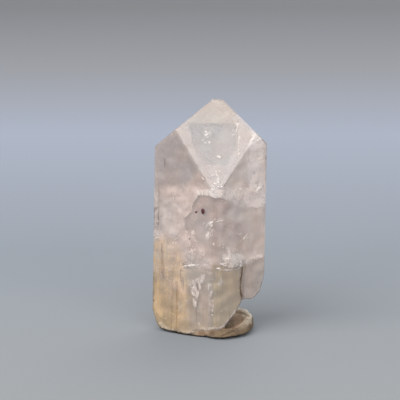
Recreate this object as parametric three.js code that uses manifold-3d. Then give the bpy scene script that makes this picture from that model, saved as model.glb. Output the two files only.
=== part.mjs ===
// A danburite crystal that stands in a flattened lump of mineral putty.
//
// The crystal is orthorhombic. Its own frame has x along the a axis, y along the b axis, pointing
// back, and z along the c axis, the length of the prism. The two front prism faces would meet in a
// line at x = 0, y = 0, which a narrow bevel cuts off. The crystal leans back a little on the
// putty, so its foot is given as a height above the ground. Millimetres and degrees.

import * as THREE from 'three';
import { mergeVertices } from 'three/addons/utils/BufferGeometryUtils.js';
import Module from 'manifold-3d';

// Driving dimensions of the crystal.
const CELL_A = 8.04; // unit cell edges in angstroms, which fix the angles between prism faces
const CELL_B = 8.75;
const LEFT_REACH = 9.34; // front edge to the left side
const RIGHT_REACH = 7.48; // front edge to the right side
const BACK_REACH = 11.2; // front edge to the back edge
const TIP_HEIGHT = 21.1; // zero to the lower tip of the kite face
const LEFT_SHOULDER = 28; // zero to where the roof meets the left side
const RIGHT_SHOULDER = 28.8; // zero to where the roof meets the right side
const APEX_HEIGHT = 35.3; // zero to the blunt top
const LEAN_BACK = 8;
const LEAN_RIGHT = 1;
const LIFT = 0.6; // zero of the crystal's own frame above the ground
const FOOT_CLEARANCE = 0.2; // lowest height of the foot above the ground
const LEDGE_DEPTH = 0.26; // step under the ledge that crosses the front

// Driving dimensions of the putty.
const PAD_RADIUS = 5;
const PAD_BULGE = 3.2; // how much further the lump reaches to the back, under the crystal
const PAD_WAIST = 1.6; // how far it stays back from the crystal's left corner
const PAD_CORNER = 0.7; // how far it sticks out at the back right
const PAD_THICKNESS = 2;
const PAD_CENTRE = [0.9, 4.9];
const PAD_BULGE_SIDE = 1.9; // directions from its centre, in radians from +x towards +y
const PAD_WAIST_SIDE = -2.75;
const PAD_CORNER_SIDE = 0.7;
const PAD_HIGH_SIDE = 0.6;
const SEAT_GAP = 0.3; // between the crystal's foot and its imprint in the putty

// Angles of the crystal faces. The azimuth turns from +x towards +y, the polar angle from +z.
const PRISM = THREE.MathUtils.radToDeg(Math.atan2(2 / CELL_B, 1 / CELL_A));
const BEVEL = THREE.MathUtils.radToDeg(Math.atan2(1 / CELL_B, 1 / CELL_A));
const PRISM_SLOPE = 1 / Math.tan(THREE.MathUtils.degToRad(PRISM));
const KITE_POLAR = 70.5;
const LEFT_DOME_POLAR = 40.6;
const RIGHT_DOME_POLAR = 44.3;
const DOME_TURN = 7; // the domes face a little backwards
const RISE_BACK = Math.tan(THREE.MathUtils.degToRad(LEAN_BACK)); // level ground's rise per mm of y
const RISE_RIGHT = Math.tan(THREE.MathUtils.degToRad(LEAN_RIGHT)); // and per mm of x

const BLOCK_SIZE = 90; // half-space blocks reach well past the crystal
const UP = new THREE.Vector3(0, 0, 1);

const wasm = await Module();
wasm.setup();

// --- Solids and numbers ---------------------------------------------------------------------

function toSolid(geometry) {
  const bare = geometry.clone();
  bare.deleteAttribute('normal');
  bare.deleteAttribute('uv');
  const merged = mergeVertices(bare, 1e-4);
  const corners = merged.index.array;
  const triangles = [];
  for (let i = 0; i < corners.length; i += 3) {
    const [a, b, c] = [corners[i], corners[i + 1], corners[i + 2]];
    if (a !== b && b !== c && c !== a) triangles.push(a, b, c);
  }
  return new wasm.Manifold(new wasm.Mesh({
    numProp: 3,
    vertProperties: new Float32Array(merged.attributes.position.array),
    triVerts: new Uint32Array(triangles),
  }));
}

function toGeometry(solid) {
  const mesh = solid.getMesh();
  const geometry = new THREE.BufferGeometry();
  geometry.setAttribute('position', new THREE.BufferAttribute(mesh.vertProperties, 3));
  geometry.setIndex(new THREE.BufferAttribute(mesh.triVerts, 1));
  return geometry;
}

// Repeatable random numbers from low to high.
function randomSource(seed) {
  let state = seed;
  return (low, high) => {
    state = (Math.imul(state, 1664525) + 1013904223) >>> 0;
    return low + ((high - low) * state) / 4294967296;
  };
}

// A smooth value from -1 to 1 that changes over about 1 unit.
function noise(x, y, seed) {
  const corner = (i, j) => {
    const wave = Math.sin(i * 127.1 + j * 311.7 + seed * 74.7) * 43758.5453;
    return 2 * (wave - Math.floor(wave)) - 1;
  };
  const [i, j] = [Math.floor(x), Math.floor(y)];
  const ease = (t) => t * t * (3 - 2 * t);
  const [u, v] = [ease(x - i), ease(y - j)];
  const low = corner(i, j) * (1 - u) + corner(i + 1, j) * u;
  const high = corner(i, j + 1) * (1 - u) + corner(i + 1, j + 1) * u;
  return low * (1 - v) + high * v;
}

// The height at x of a line through [x, height] points.
function along(points, x) {
  const next = points.findIndex((point) => point[0] > x);
  if (next === 0) return points[0][1];
  if (next < 0) return points[points.length - 1][1];
  const [a, b] = [points[next - 1], points[next]];
  return a[1] + ((b[1] - a[1]) * (x - a[0])) / (b[0] - a[0]);
}

function direction(azimuth, polar) {
  const a = THREE.MathUtils.degToRad(azimuth);
  const p = THREE.MathUtils.degToRad(polar);
  return new THREE.Vector3(Math.sin(p) * Math.cos(a), Math.sin(p) * Math.sin(a), Math.cos(p));
}

// A huge block on the outer side of a face plane, which is moved outwards by grow.
function outside({ azimuth, polar, through }, grow = 0) {
  const normal = direction(azimuth, polar);
  const block = new THREE.BoxGeometry(BLOCK_SIZE, BLOCK_SIZE, BLOCK_SIZE);
  block.translate(0, 0, BLOCK_SIZE / 2);
  block.applyQuaternion(new THREE.Quaternion().setFromUnitVectors(UP, normal));
  const start = new THREE.Vector3(...through).addScaledVector(normal, grow);
  block.translate(start.x, start.y, start.z);
  return toSolid(block);
}

// A closed block whose upper side is the height field z = height(x, y).
function blockBelow(height, { x0, x1, y0, y1, bottom, columns, rows }) {
  const block = new THREE.BoxGeometry(1, 1, 1, columns, rows, 1).translate(0.5, 0.5, 0.5);
  const points = block.attributes.position;
  for (let i = 0; i < points.count; i += 1) {
    const x = x0 + (x1 - x0) * points.getX(i);
    const y = y0 + (y1 - y0) * points.getY(i);
    points.setXYZ(i, x, y, points.getZ(i) > 0.5 ? height(x, y) : bottom);
  }
  return toSolid(block);
}

// A spindle with four sides that cuts a V groove of this width and depth into a face, and runs
// out to nothing at both ends.
function groove({ azimuth, from, to, width, depth }) {
  const [start, end] = [new THREE.Vector3(...from), new THREE.Vector3(...to)];
  const run = end.clone().sub(start);
  const spindle = new THREE.OctahedronGeometry(1, 0);
  spindle.scale(width / 2, depth, run.length() / 2);
  spindle.rotateZ(THREE.MathUtils.degToRad(azimuth + 90));
  spindle.applyQuaternion(new THREE.Quaternion().setFromUnitVectors(UP, run.normalize()));
  const middle = start.add(end).multiplyScalar(0.5);
  return toSolid(spindle.translate(middle.x, middle.y, middle.z));
}

function joined(solids) {
  return solids.reduce((sum, solid) => sum.add(solid));
}

// --- Faces of the crystal -------------------------------------------------------------------

const leftDepth = LEFT_REACH * PRISM_SLOPE;
const rightDepth = RIGHT_REACH * PRISM_SLOPE;
const backEdge = [-0.9, BACK_REACH, 0];

const frontLeft = { azimuth: PRISM - 180, polar: 90, through: [0, 0, 0] };
const frontRight = { azimuth: -PRISM, polar: 90, through: [0, 0, 0] };
const frontBevel = { azimuth: -84, polar: 90, through: [-0.6, 0.327, 0] };
const backRight = { azimuth: PRISM, polar: 90, through: backEdge };
const backLeft = { azimuth: 180 - PRISM, polar: 90, through: backEdge };

const prismFaces = [
  frontLeft, frontRight, frontBevel, backRight, backLeft,
  { azimuth: 0, polar: 90, through: [RIGHT_REACH, 0, 0] },
  { azimuth: 180, polar: 90, through: [-LEFT_REACH, 0, 0] },
  { azimuth: -BEVEL, polar: 90, through: [RIGHT_REACH - 0.5, rightDepth - 0.27, 0] },
  { azimuth: BEVEL - 180, polar: 90, through: [-LEFT_REACH + 0.6, leftDepth - 0.33, 0] },
];

const kite = { azimuth: -90, polar: KITE_POLAR, through: [0, 0, TIP_HEIGHT] };
const rightDome = {
  azimuth: DOME_TURN, polar: RIGHT_DOME_POLAR, through: [RIGHT_REACH, rightDepth, RIGHT_SHOULDER],
};
const leftDome = {
  azimuth: 180 - DOME_TURN, polar: LEFT_DOME_POLAR, through: [-LEFT_REACH, leftDepth, LEFT_SHOULDER],
};

const roofFaces = [
  kite, rightDome, leftDome,
  { azimuth: 92, polar: 61, through: [0, 7.3, APEX_HEIGHT] },
  { azimuth: 80, polar: 14, through: [0, 5, APEX_HEIGHT] },
  { azimuth: 180 - PRISM, polar: 66, through: [-6, 8.4, 27.3] },
];

// The point where three face planes meet.
function corner(...faces) {
  const normals = faces.map((face) => direction(face.azimuth, face.polar));
  const [a, b, c] = normals;
  const [da, db, dc] = faces.map((face, i) => normals[i].dot(new THREE.Vector3(...face.through)));
  const volume = a.dot(b.clone().cross(c));
  return b.clone().cross(c).multiplyScalar(da)
    .add(c.clone().cross(a).multiplyScalar(db))
    .add(a.clone().cross(b).multiplyScalar(dc))
    .divideScalar(volume);
}

// The direction of the edge between two faces, pointing down.
function edgeDown(faceA, faceB) {
  const edge = direction(faceA.azimuth, faceA.polar).cross(direction(faceB.azimuth, faceB.polar));
  return edge.z > 0 ? edge.normalize().negate() : edge.normalize();
}

// The small bright facet that cuts off the right corner of the kite.
function cornerFacet() {
  const tip = corner(kite, frontRight, rightDome);
  const reach = (faceA, faceB, length) => tip.clone().addScaledVector(edgeDown(faceA, faceB), length);
  const a = reach(kite, frontRight, 2.3);
  const b = reach(frontRight, rightDome, 1.1);
  const c = tip.clone().addScaledVector(edgeDown(kite, rightDome), -0.28);
  const normal = b.clone().sub(a).cross(c.clone().sub(a)).normalize();
  if (normal.z < 0) normal.negate();
  const polar = THREE.MathUtils.radToDeg(Math.acos(normal.z));
  const azimuth = THREE.MathUtils.radToDeg(Math.atan2(normal.y, normal.x));
  return outside({ azimuth, polar, through: a.toArray() });
}

// --- The broken foot ------------------------------------------------------------------------

// Height of the broken foot above the ground from left to right: the left corner almost touches
// the ground, a slanted break takes away the lower right corner, and a block hangs beyond it.
const footLine = [
  [-9.5, 3.47], [-9.2, 2.97], [-8.9, 1.77], [-8.4, 0.92], [-8.1, 0.61], [-7.5, 0.51],
  [-6.3, 0.44], [-5.4, 0.43], [-5, 0.32], [-4.3, 0.32], [-3.7, 0.36], [-3.1, 0.49],
  [-2.75, 0.73], [-2.1, 1.13], [-1.5, 1.09], [-0.9, 1.25], [0.45, 1.39], [1.4, 1.43],
  [1.6, 1.67], [2.1, 2.37], [3.2, 3.62], [3.87, 4.80], [4.3, 5.40], [5.8, 5.25], [6.85, 6.35],
  [7.3, 7.90], [7.6, 9.80],
];

function frontDepth(x) {
  return Math.abs(x) * PRISM_SLOPE;
}

function footHeight(x, y) {
  const behind = Math.max(0, y - frontDepth(x) - 0.7);
  const hollow = 0.75 * Math.min(1, behind / 1.6);
  const hackle = 0.22 * noise(x * 0.9, y * 0.9, 3) + 0.1 * noise(x * 2.1, y * 2.1, 5);
  const turned = x + 0.1 * behind;
  const height = along(footLine, turned) + (turned < 1.6 ? hollow : 0) + hackle * Math.min(1, behind);
  const jag = 0.09 * noise(x * 2.6, 0, 9);
  return Math.max(FOOT_CLEARANCE, height + jag) - LIFT + y * RISE_BACK + x * RISE_RIGHT;
}

function belowFoot(lowered) {
  return blockBelow((x, y) => footHeight(x, y) - lowered, {
    x0: -11, x1: 9, y0: -2, y1: 13, bottom: -8, columns: 46, rows: 30,
  });
}

// --- Ledge, crack, growth lines and chips -----------------------------------------------------

const ledgeLine = [
  [-5.5, 10], [-3.3, 10.1], [-1.8, 10.5], [-0.1, 10], [1.4, 9.9], [3.3, 10], [4.6, 10.7],
  [6.3, 11.3], [7.5, 11.4],
];

// A shallow step in a front face below the ledge line, from x0 to x1. It starts from nothing at
// x0 and has its full depth where x is 0, or everywhere if it is even.
function step({ face, x0, x1, line, seed, even }) {
  const random = randomSource(seed);
  const outline = [new THREE.Vector2(x0, -6)];
  const pieces = Math.ceil((x1 - x0) / 0.55);
  for (let i = 0; i <= pieces; i += 1) {
    const x = x0 + ((x1 - x0) * i) / pieces;
    outline.push(new THREE.Vector2(x, along(line, x) + random(-0.14, 0.14)));
  }
  outline.push(new THREE.Vector2(x1, -6));
  const region = new THREE.ExtrudeGeometry(new THREE.Shape(outline.reverse()), {
    depth: 11, bevelEnabled: false,
  });
  region.rotateX(Math.PI / 2).translate(0, 7, 0);
  if (even) return toSolid(region).intersect(outside(face, -LEDGE_DEPTH));
  const turn = THREE.MathUtils.radToDeg(Math.atan2(LEDGE_DEPTH, Math.abs(x0)));
  const tapered = { azimuth: face.azimuth + turn, polar: 90, through: [x0, frontDepth(x0), 0] };
  return toSolid(region).intersect(outside(tapered));
}

// The dark crack between the middle of the foot and the hanging block.
function crack() {
  const points = [[4.35, 10.6], [3.92, 7.2], [4.4, 4.6]];
  const cuts = [];
  for (let i = 0; i + 1 < points.length; i += 1) {
    const [a, b] = [points[i], points[i + 1]]
      .map(([x, z]) => new THREE.Vector3(x, frontDepth(x), z));
    const from = a.clone().lerp(b, -0.3).toArray(); // each cut runs on past the next one's start
    const to = a.lerp(b, 1.3).toArray();
    cuts.push(groove({ azimuth: -PRISM, from, to, width: 0.36, depth: 1.5 }));
  }
  return joined(cuts);
}

// Growth lines that run along the c axis on one prism face, at random places. Each covers at
// least this share of the height from low to high.
function growthLines({ face, from, to, low, high, count, seed, depth, least = 0.2 }) {
  const random = randomSource(seed);
  const normal = direction(face.azimuth, 90);
  const across = new THREE.Vector3(-normal.y, normal.x, 0);
  const lines = [];
  for (let i = 0; i < count; i += 1) {
    const place = from + ((to - from) * (i + random(0.15, 0.85))) / count;
    const start = new THREE.Vector3(...face.through).addScaledVector(across, place);
    const z0 = random(low, low + (high - low) * (1 - least) * 0.55);
    const z1 = random(z0 + (high - low) * least, high);
    lines.push(groove({
      azimuth: face.azimuth,
      from: [start.x, start.y, z0],
      to: [start.x, start.y, z1],
      width: random(0.2, 0.42),
      depth: random(0.4, 1) * depth,
    }));
  }
  return joined(lines);
}

// Small chips broken out along an upright edge.
function chips({ x, y, low, high, count, size, seed }) {
  const random = randomSource(seed);
  const cuts = [];
  for (let i = 0; i < count; i += 1) {
    const side = size * random(0.7, 1.3);
    const chip = new THREE.OctahedronGeometry(side, 0);
    chip.scale(1, 1, random(0.9, 1.8));
    chip.rotateX(random(0, 3)).rotateY(random(0, 3)).rotateZ(random(0, 3));
    const outwards = new THREE.Vector2(x, y - BACK_REACH / 2).setLength(side * random(0.15, 0.5));
    const z = low + ((high - low) * (i + random(0, 1))) / count;
    cuts.push(toSolid(chip.translate(x + outwards.x, y + outwards.y, z)));
  }
  return joined(cuts);
}

// A shell-shaped hollow from an old knock, at a place across a prism face.
function knock({ face, at, z, radius, bite }) {
  const normal = direction(face.azimuth, 90);
  const middle = new THREE.Vector3(...face.through).addScaledVector(normal, radius - bite);
  middle.add(new THREE.Vector3(-normal.y, normal.x, 0).multiplyScalar(at));
  const shell = new THREE.IcosahedronGeometry(radius, 3).scale(1, 1, 1.5);
  return toSolid(shell.translate(middle.x, middle.y, z));
}

function surfaceRelief() {
  return joined([
    step({ face: frontLeft, x0: -5.9, x1: -0.3, line: ledgeLine, seed: 11 }),
    step({ face: frontBevel, x0: -0.9, x1: 0.4, line: ledgeLine, seed: 12, even: true }),
    step({ face: frontRight, x0: 0, x1: 9, line: ledgeLine, seed: 13, even: true }),
    crack(),
    growthLines({
      face: frontLeft, from: -10.4, to: -8.6, low: 3, high: 26, count: 5, seed: 21, depth: 0.16,
    }),
    growthLines({
      face: frontLeft, from: -7.6, to: -0.9, low: -4, high: 10.4, count: 7, seed: 22, depth: 0.4,
      least: 0.75,
    }),
    growthLines({
      face: frontRight, from: 0.9, to: 4.2, low: -4, high: 10, count: 3, seed: 23, depth: 0.5,
      least: 0.75,
    }),
    growthLines({
      face: frontRight, from: 6.6, to: 8.2, low: 8, high: 27, count: 4, seed: 24, depth: 0.16,
    }),
    growthLines({
      face: backLeft, from: 0.6, to: 9, low: 3, high: 27, count: 12, seed: 25, depth: 0.16,
    }),
    growthLines({
      face: backRight, from: -9, to: -0.6, low: 6, high: 27, count: 11, seed: 26, depth: 0.16,
    }),
    chips({ x: -LEFT_REACH, y: leftDepth, low: 13.6, high: 18.4, count: 7, size: 1, seed: 31 }),
    chips({ x: -LEFT_REACH, y: leftDepth, low: 1, high: 13, count: 5, size: 0.5, seed: 32 }),
    chips({ x: -LEFT_REACH, y: leftDepth, low: 26.6, high: 28.2, count: 2, size: 0.6, seed: 33 }),
    chips({ x: RIGHT_REACH, y: rightDepth, low: 8, high: 28.8, count: 6, size: 0.45, seed: 34 }),
    chips({ x: backEdge[0], y: BACK_REACH, low: 2, high: 26, count: 8, size: 0.6, seed: 35 }),
    chips({ x: -LEFT_REACH, y: 6.6, low: 4, high: 26, count: 6, size: 0.5, seed: 36 }),
    chips({ x: RIGHT_REACH, y: 6.6, low: 9, high: 27, count: 6, size: 0.5, seed: 37 }),
    knock({ face: backLeft, at: 9.6, z: 6.5, radius: 3, bite: 0.6 }),
  ]);
}

function facetedCrystal(grow) {
  const core = toSolid(new THREE.BoxGeometry(40, 40, 46).translate(0, 0, 17));
  return core.subtract(joined([...prismFaces, ...roofFaces].map((face) => outside(face, grow))));
}

function danburiteCrystal() {
  return facetedCrystal(0)
    .subtract(cornerFacet())
    .subtract(surfaceRelief())
    .subtract(belowFoot(0));
}

// --- Putty ----------------------------------------------------------------------------------

// Radius and height of the lump from the middle of its underside, round its side, over the rim
// and down into the dished top, as shares of its full radius and thickness.
const padProfile = [
  [0, 0], [0.5, 0], [0.86, 0], [0.9, 0.1], [0.975, 0.17], [1, 0.4], [0.985, 0.66], [0.94, 0.88],
  [0.86, 1], [0.77, 0.97], [0.68, 0.8], [0.58, 0.62], [0.44, 0.52], [0.26, 0.5], [0, 0.5],
];

// The lump is squashed out to the back, where it carries the leaning crystal, and its rim stands
// highest at the back right.
function puttyLump() {
  const points = padProfile.map(([radius, height]) => new THREE.Vector2(radius, height));
  const lump = new THREE.LatheGeometry(points, 60).rotateX(Math.PI / 2);
  const position = lump.attributes.position;
  for (let i = 0; i < position.count; i += 1) {
    const [x, y, z] = [position.getX(i), position.getY(i), position.getZ(i)];
    const angle = Math.atan2(y, x);
    const backShare = Math.max(0, Math.cos(angle - PAD_BULGE_SIDE)) ** 2;
    const leftCornerShare = Math.max(0, Math.cos(angle - PAD_WAIST_SIDE)) ** 4;
    const backRightShare = Math.max(0, Math.cos(angle - PAD_CORNER_SIDE)) ** 6;
    const dent = 0.16 * noise(4 + 2.4 * Math.cos(angle), 4 + 2.4 * Math.sin(angle), 41);
    const radius = PAD_RADIUS + PAD_BULGE * backShare + PAD_CORNER * backRightShare
      - PAD_WAIST * leftCornerShare + dent;
    const lumps = 0.1 * noise(3 + 3 * x, 3 + 3 * y, 43);
    const height = PAD_THICKNESS * (0.75 + 0.36 * Math.cos(angle - PAD_HIGH_SIDE) + lumps);
    position.setXYZ(i, PAD_CENTRE[0] + radius * x, PAD_CENTRE[1] + radius * y, height * z);
  }
  return toSolid(lump);
}

// --- Assembly -------------------------------------------------------------------------------

// Turns and lifts the crystal's own frame into its stance on the putty.
const stance = new THREE.Euler(
  THREE.MathUtils.degToRad(-LEAN_BACK), THREE.MathUtils.degToRad(LEAN_RIGHT), 0);

function standing(solid) {
  const turned = toGeometry(solid).applyMatrix4(new THREE.Matrix4().makeRotationFromEuler(stance));
  return toSolid(turned.translate(0, 0, LIFT));
}

const danburite = new THREE.MeshStandardMaterial({ color: 0xd9cbc4, roughness: 0.15, metalness: 0 });
const putty = new THREE.MeshStandardMaterial({ color: 0xb09c80, roughness: 0.85, metalness: 0 });

const part = new THREE.Group();

const crystal = new THREE.Mesh(toGeometry(danburiteCrystal()), danburite);
crystal.name = 'crystal';
crystal.rotation.copy(stance);
crystal.position.z = LIFT;
part.add(crystal);

const seat = standing(facetedCrystal(SEAT_GAP).subtract(belowFoot(SEAT_GAP)));
const puttyPad = new THREE.Mesh(toGeometry(puttyLump().subtract(seat)), putty);
puttyPad.name = 'putty_pad';
part.add(puttyPad);

// The part's origin is on the ground under the middle of everything.
const bounds = new THREE.Box3().setFromObject(part, true);
const middle = bounds.getCenter(new THREE.Vector3());
part.position.set(-middle.x, -middle.y, -bounds.min.z);

export default part;
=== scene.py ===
"""A danburite crystal in a lump of mineral putty: its looks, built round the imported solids.

Places and lengths are in millimetres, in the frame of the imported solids, until a mesh is made
from them. Some places are named by a spot (column, row) in the 400 x 400 picture. place_inside()
and place_behind() turn a spot and a depth into a point under the crystal's surface. seen_from()
does the same for the sides that the picture doesn't show.
"""

import math
import random

import bmesh
import bpy
from mathutils import Matrix, Vector, noise
from mathutils.bvhtree import BVHTree


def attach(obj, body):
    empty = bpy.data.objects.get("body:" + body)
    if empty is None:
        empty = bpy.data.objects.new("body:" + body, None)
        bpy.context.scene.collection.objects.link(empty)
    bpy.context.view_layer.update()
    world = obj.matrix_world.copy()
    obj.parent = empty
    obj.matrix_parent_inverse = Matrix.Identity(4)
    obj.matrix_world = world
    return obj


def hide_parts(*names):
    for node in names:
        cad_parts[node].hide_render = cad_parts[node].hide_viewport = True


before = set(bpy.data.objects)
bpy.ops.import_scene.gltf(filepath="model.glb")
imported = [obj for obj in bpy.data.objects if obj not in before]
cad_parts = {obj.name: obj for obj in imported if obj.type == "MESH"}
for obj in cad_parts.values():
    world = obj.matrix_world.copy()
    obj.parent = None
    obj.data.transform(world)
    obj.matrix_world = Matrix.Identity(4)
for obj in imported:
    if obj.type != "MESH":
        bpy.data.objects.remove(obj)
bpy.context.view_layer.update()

MM = 0.001
PICTURE = 400  # width and height of the picture
CAMERA_AT = Vector((-1.418, -388.436, 123.905))
CAMERA_DOWN = math.radians(15)
LENS = 240
SENSOR = 36
LEAN_BACK = math.radians(8)  # of the crystal's long axis

IOR = 1.63
PAST_SKIN = 0.6  # a ray looks for the crystal's far side from this far in
SHALLOWEST = 0.12
NUDGE = 0.001  # takes a ray on past the face that it has met
ACROSS = Vector((0.31, 0.17, 0.93)).normalized()  # along no face or edge of the crystal
OUTSIDE = 50  # further from the middle than any of the crystal
FRONT_FACING = -0.25  # a face whose normal has less than this along Y is seen from the front
crystal_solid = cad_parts["crystal"]
putty_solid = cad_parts["putty_pad"]


def clamped(value):
    """The value, kept between 0 and 1."""
    return max(0, min(1, value))


def tree_of(solid):
    """A solid's faces in millimetres, to find where rays meet it."""
    return BVHTree.FromPolygons(
        [v.co / MM for v in solid.data.vertices], [p.vertices for p in solid.data.polygons])


def add_object(name, data):
    """A new object in the scene."""
    made = bpy.data.objects.new(name, data)
    bpy.context.scene.collection.objects.link(made)
    return made


# --- Camera and spots -------------------------------------------------------------------------

camera = add_object("camera", bpy.data.cameras.new("camera"))
camera.data.lens = LENS
camera.data.sensor_width = SENSOR
camera.data.clip_start = 10 * MM
camera.data.clip_end = 5
camera.location = CAMERA_AT * MM
camera.rotation_euler = (math.pi / 2 - CAMERA_DOWN, 0, 0)
bpy.context.scene.camera = camera

crystal_tree = tree_of(crystal_solid)


def spot_ray(column, row):
    """The direction from the camera through a spot of the picture."""
    focal = PICTURE * LENS / SENSOR
    ahead = Vector((0, math.cos(CAMERA_DOWN), -math.sin(CAMERA_DOWN)))
    up = Vector((0, math.sin(CAMERA_DOWN), math.cos(CAMERA_DOWN)))
    right = Vector((1, 0, 0))
    half = PICTURE / 2
    return (ahead + right * ((column - half) / focal) - up * ((row - half) / focal)).normalized()


def bent(ray, normal):
    """The ray's direction once it has passed into the crystal."""
    facing = -ray.dot(normal)
    ratio = 1 / IOR
    inner = math.sqrt(1 - ratio**2 * (1 - facing**2))
    return (ray * ratio + normal * (ratio * facing - inner)).normalized()


FACE_SPOTS = [(212, 150), (172, 215), (252, 222), (219.5, 232)]  # kite, left, right, front bevel
front_faces = []
for face_spot in FACE_SPOTS:
    hit, normal, _, _ = crystal_tree.ray_cast(CAMERA_AT, spot_ray(*face_spot))
    front_faces.append((hit, normal))


def entry(spot):
    """Where the camera's ray through a spot enters the plain faces, and its direction inside."""
    ray = spot_ray(*spot)
    reach, normal = max(
        ((hit - CAMERA_AT).dot(normal) / ray.dot(normal), normal) for hit, normal in front_faces
    )
    return CAMERA_AT + ray * reach, bent(ray, normal)


def place_inside(spot, depth, clear=0.25):
    """The point seen at a spot, this far along the bent ray, or nearer if the crystal ends."""
    start, onward = entry(spot)
    _, _, _, room = crystal_tree.ray_cast(start + onward * PAST_SKIN, onward)
    limit = (room or 0) + PAST_SKIN - clear
    return start + onward * max(SHALLOWEST, min(depth, limit))


def place_behind(spot, depth):
    """The point straight behind a spot, for wide sheets: bent rays cross behind an edge."""
    start, _ = entry(spot)
    return start + spot_ray(PICTURE / 2, PICTURE / 2) * depth


def is_inside(point, clear=0.1):
    """True if a point is in the crystal, at least this far from its surface."""
    if crystal_tree.find_nearest(point)[3] < clear:
        return False
    crossings = 0
    while point:
        point, _, _, _ = crystal_tree.ray_cast(point, ACROSS)
        if point:
            point += ACROSS * NUDGE
            crossings += 1
    return crossings % 2 == 1


# --- Materials --------------------------------------------------------------------------------


def colour(red, green, blue):
    """A colour given in 0 to 255 as it is shown, turned into light."""
    channels = []
    for value in (red, green, blue):
        c = value / 255
        channels.append(c / 12.92 if c <= 0.04045 else ((c + 0.055) / 1.055) ** 2.4)
    return (*channels, 1)


NOISE_LOW, NOISE_HIGH = 0.35, 0.65  # most of a noise lies between these


class Shader:
    """A material that is put together node by node."""

    def __init__(self, name):
        self.material = bpy.data.materials.new(name)
        self.material.use_nodes = True
        self.tree = self.material.node_tree
        self.tree.nodes.clear()

    def node(self, kind, inputs=None, **settings):
        """Adds a node. An input is a number, a colour, or another node's output to join."""
        made = self.tree.nodes.new("ShaderNode" + kind)
        for name, value in settings.items():
            setattr(made, name, value)
        for name, value in (inputs or {}).items():
            self.feed(made.inputs[name], value)
        return made

    def feed(self, socket, value):
        """Gives an input its number or colour, or joins another node's output to it."""
        if isinstance(value, bpy.types.NodeSocket):
            self.tree.links.new(value, socket)
        else:
            socket.default_value = value

    def millimetres(self, stretch=(1, 1, 1), lean=0):
        """Object coordinates in millimetres, turned upright and then stretched."""
        place = self.node("TexCoord").outputs["Object"]
        turned = self.node(
            "VectorRotate", {"Vector": place, "Angle": lean}, rotation_type="X_AXIS").outputs[0]
        scale = tuple(s / MM for s in stretch)
        return self.node("Mapping", {"Vector": turned, "Scale": scale}).outputs[0]

    def attribute(self, name):
        """A number that the mesh has for each corner."""
        return self.node("Attribute", attribute_name=name).outputs["Fac"]

    def noise(self, place, scale, detail=3, roughness=0.5):
        return self.node("TexNoise", {
            "Vector": place, "Scale": scale, "Detail": detail, "Roughness": roughness,
        }).outputs["Fac"]

    def range(self, value, low=NOISE_LOW, high=NOISE_HIGH, start=0, end=1, smooth=True):
        """The value moved from between low and high to between start and end."""
        return self.node("MapRange", {
            "Value": value, "From Min": low, "From Max": high, "To Min": start, "To Max": end,
        }, interpolation_type="SMOOTHSTEP" if smooth else "LINEAR").outputs["Result"]

    def math(self, operation, a, b=0):
        made = self.node("Math", operation=operation)
        for socket, value in zip(made.inputs, (a, b)):
            self.feed(socket, value)
        return made.outputs[0]

    def mix(self, share, a, b):
        """The colour between a and b."""
        made = self.node("Mix", data_type="RGBA")
        for name, kind, value in (("Factor", "VALUE", share), ("A", "RGBA", a), ("B", "RGBA", b)):
            self.feed(next(s for s in made.inputs if (s.name, s.type) == (name, kind)), value)
        return next(s for s in made.outputs if s.type == "RGBA")

    def between(self, share, tones):
        """The colour between two tones that are given in 0 to 255."""
        return self.mix(share, colour(*tones[0]), colour(*tones[1]))

    def finish(self, surface, volume=None):
        output = self.node("OutputMaterial")
        self.tree.links.new(surface, output.inputs["Surface"])
        if volume:
            self.tree.links.new(volume, output.inputs["Volume"])
        return self.material


# Painted glow: an emission that brightens cracks and flecks beyond the light that reaches them.
PAINTED_GLOW_TONE = colour(255, 248, 244)  # the light that an open crack sends on from behind
CLEAN = ((255, 240, 232), (246, 240, 238))
IRON = colour(246, 226, 196)
TRANSMISSION = 0.82
THROUGH = (0.98, 0.9, 0.83, 1)  # the tone that light takes on inside
ABSORPTION = 40  # per metre
LAMP_TONE = (0.97, 0.95, 0.93, 1)  # what the surface leaves of the lamps' light
PUTTY = ((97, 79, 60), (124, 103, 79))
# painted light for the putty's dish, which the crystal shades
PUTTY_DISH_LIGHT = colour(198, 164, 134)
# a painted highlight for the top of the putty's rim
PUTTY_RIM_HIGHLIGHT = colour(230, 214, 192)
PUTTY_SPECKS = colour(92, 72, 58)
# painted shade for the putty next to the floor
PUTTY_FLOOR_SHADE = colour(40, 29, 21)


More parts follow.
